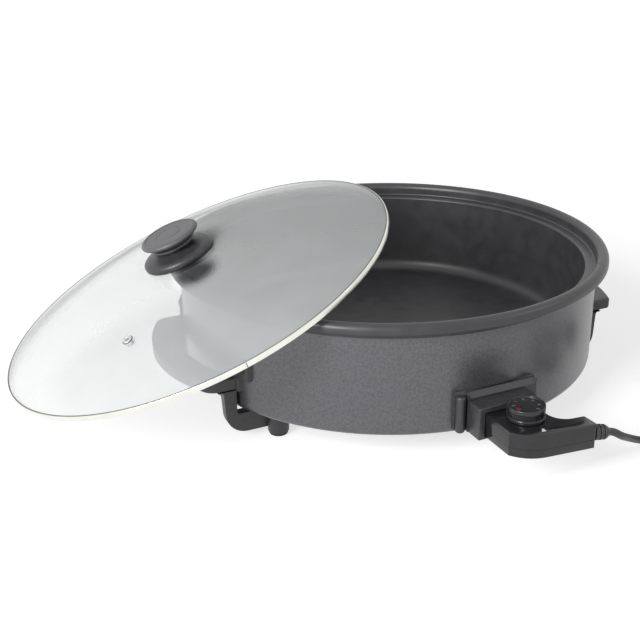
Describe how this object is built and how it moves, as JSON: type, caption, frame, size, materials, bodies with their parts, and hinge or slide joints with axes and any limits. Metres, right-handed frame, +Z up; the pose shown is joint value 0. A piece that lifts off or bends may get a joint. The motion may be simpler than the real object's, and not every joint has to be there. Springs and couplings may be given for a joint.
{
  "type": "electric skillet",
  "caption": "Round electric skillet with bakelite handle feet, a plug-in dial heat control on a mains cord, and a loose domed glass lid parked on the rim.",
  "frame": {"origin": "on the pan's vertical axis, at table level under the four foot pads", "axes": "+Z up along the pan's axis, X through the two handles with the parked lid over the -X handle, and the heat control plugs in from -Y"},
  "size_m": [0.6257, 0.5089, 0.1845],
  "materials": {
    "pan_coating": "satin non-stick coating",
    "jacket_enamel": "hammered grey paint",
    "zinc": "zinc plated",
    "sheath_steel": "heat darkened sheath",
    "ceramic": "unglazed ceramic",
    "steel": "bright stainless steel",
    "bakelite": "moulded, satin",
    "contact_brass": "bare",
    "pad_rubber": "matt",
    "lid_glass": "clear tempered glass",
    "control_plastic": "polished",
    "lamp_lens": "clear lamp cover",
    "red_mark": "printed spot",
    "cord_rubber": "matt",
    "pin_plating": "nickel plated"
  },
  "bodies": {
    "base": {"inner_pan": "pan_coating", "outer_jacket": "jacket_enamel", "jacket_screws": "zinc", "heating_element": "sheath_steel", "terminal_block": "ceramic", "probe_well": "steel", "socket_shroud": "bakelite", "shroud_screws": "zinc", "socket_earth_clip": "contact_brass", "left_handle": "bakelite", "right_handle": "bakelite", "left_handle_screws": "zinc", "right_handle_screws": "zinc", "left_foot_pads": "pad_rubber", "right_foot_pads": "pad_rubber"},
    "lid": {"lid_glass": "lid_glass", "lid_rim_band": "steel", "lid_vent": "steel", "lid_knob_guard": "bakelite", "lid_knob": "bakelite", "lid_knob_seal": "pad_rubber", "lid_rest_hook": "bakelite", "lid_knob_screw": "zinc"},
    "control": {"control_top_housing": "control_plastic", "control_bottom_housing": "control_plastic", "housing_screws": "zinc", "sensor_rod": "steel", "contact_sleeves": "contact_brass", "control_earth_strip": "contact_brass", "thermostat_frame": "zinc", "bimetal_strip": "contact_brass", "contact_blades": "contact_brass", "pilot_lamp": "lamp_lens", "lamp_lens": "lamp_lens", "strain_relief": "cord_rubber", "cord": "cord_rubber", "cord_coil": "cord_rubber", "plug_body": "cord_rubber", "plug_relief": "cord_rubber", "plug_pins": "pin_plating"},
    "dial": {"dial": "control_plastic", "dial_mark": "red_mark", "dial_shaft": "steel"}
  },
  "joints": [
    {"name": "lid_lift", "type": "slide", "parent": "base", "child": "lid", "axis": [0, 0, 1], "range_m": [0, 0.12]},
    {"name": "control_unplug", "type": "slide", "parent": "base", "child": "control", "axis": [0, -1, 0], "range_m": [0, 0.06]},
    {"name": "dial_turn", "type": "hinge", "parent": "control", "child": "dial", "pos_m": [0, -0.24, 0.06], "axis": [0, 0, -1], "range_deg": [0, 270]}
  ]
}
